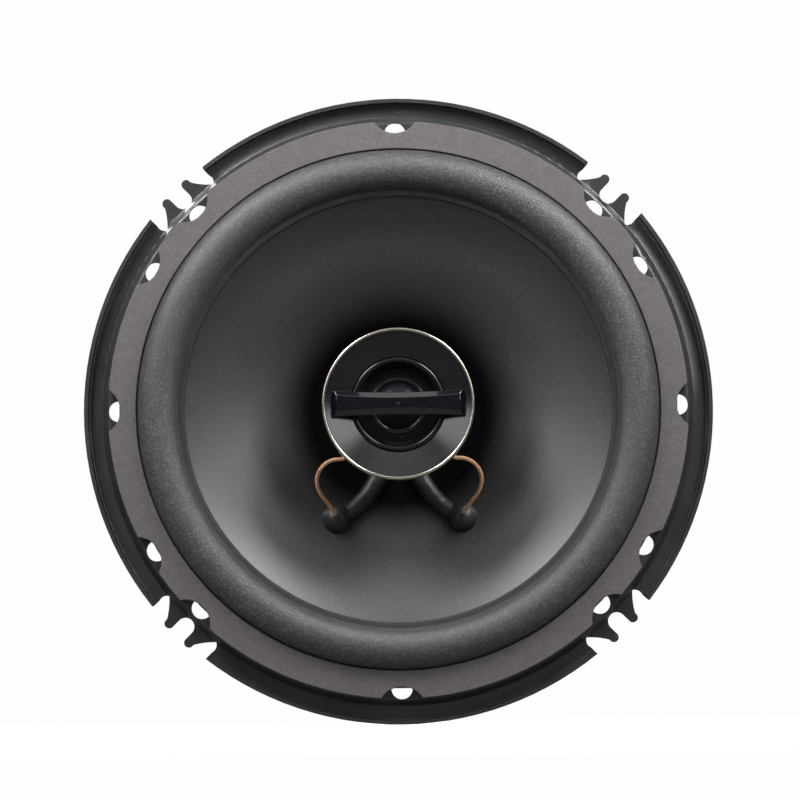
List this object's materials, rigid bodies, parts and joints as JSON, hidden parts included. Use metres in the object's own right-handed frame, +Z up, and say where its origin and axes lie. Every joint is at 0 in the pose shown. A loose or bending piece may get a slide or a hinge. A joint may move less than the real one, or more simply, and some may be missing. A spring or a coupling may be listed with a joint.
{
  "type": "coaxial car speaker",
  "caption": "Round two-way coaxial car loudspeaker: stamped flanged basket, rubber surround, cone, ring magnet and a tweeter with a bridge held in front on a post.",
  "frame": {"origin": "on the speaker's axis, in the plane of the flange's rear mounting face", "axes": "+Y along the axis towards the magnet, the cone and tweeter face -Y, +Z up, +X to the right seen from the front"},
  "size_m": [0.165, 0.075, 0.165],
  "materials": {
    "black_steel": "satin black coated stamped steel",
    "grey_fibre": "matt grey pressed fibre",
    "black_rubber": "satin black rubber with fine sparkle",
    "cone_sheet": "satin dark grey moulded cone with fine specks",
    "glue": "glossy black cured adhesive",
    "brass_part": "brass",
    "coil_former": "rolled aluminium foil tube",
    "copper_wire": "enamelled copper wire winding",
    "copper_braid": "braided copper tinsel lead",
    "spider_cloth": "resin dipped woven cloth",
    "zinc_steel": "zinc plated steel",
    "ferrite": "ground dark grey ferrite",
    "boot_rubber": "matt black rubber",
    "phenolic": "brown laminated board",
    "tin_plate": "tin plated strip",
    "capacitor_sleeve": "dark shrink sleeve",
    "black_plastic": "satin black moulding",
    "gloss_black": "glossy black moulding",
    "champagne_metal": "polished champagne edge ring",
    "dome_film": "thin glossy dark film",
    "nickel": "nickel plated magnet"
  },
  "bodies": {
    "frame": {"basket": "black_steel", "front_gasket": "grey_fibre", "surround": "black_rubber", "spider": "spider_cloth", "top_plate": "zinc_steel", "ferrite_magnet": "ferrite", "back_plate": "zinc_steel", "magnet_boot": "boot_rubber", "basket_rivets": "zinc_steel", "terminal_board": "phenolic", "terminal_tab_wide": "tin_plate", "terminal_tab_narrow": "tin_plate", "board_rivets": "brass_part", "capacitor": "capacitor_sleeve", "capacitor_leads": "tin_plate", "tweeter_post": "black_plastic", "post_screw": "zinc_steel", "post_washer": "zinc_steel", "tweeter_base": "black_plastic", "tweeter_yoke": "zinc_steel", "tweeter_magnet": "nickel", "tweeter_pole_plate": "zinc_steel", "tweeter_support_ring": "black_plastic", "tweeter_suspension": "dome_film", "tweeter_face": "black_plastic", "tweeter_trim_ring": "champagne_metal", "tweeter_bridge": "gloss_black"},
    "cone_assembly": {"cone": "cone_sheet", "neck_glue": "glue", "lead_glue_right": "glue", "lead_glue_left": "glue", "cone_eyelets": "brass_part", "voice_coil_former": "coil_former", "voice_coil_winding": "copper_wire", "copper_lead_right": "copper_braid", "copper_lead_left": "copper_braid", "rear_lead_right": "copper_braid", "rear_lead_left": "copper_braid"},
    "tweeter_diaphragm": {"tweeter_dome": "dome_film", "tweeter_coil_former": "coil_former", "tweeter_coil_winding": "copper_wire"}
  },
  "joints": [
    {"name": "cone_travel", "type": "slide", "parent": "frame", "child": "cone_assembly", "axis": [0, -1, 0], "range_m": [-0.004, 0.004], "stiffness_N_per_m": 2500, "deforming": ["surround", "spider", "copper_lead_right", "copper_lead_left", "rear_lead_right", "rear_lead_left"]},
    {"name": "tweeter_travel", "type": "slide", "parent": "frame", "child": "tweeter_diaphragm", "axis": [0, -1, 0], "range_m": [-0.0003, 0.0003], "stiffness_N_per_m": 400, "deforming": ["tweeter_suspension"]}
  ]
}
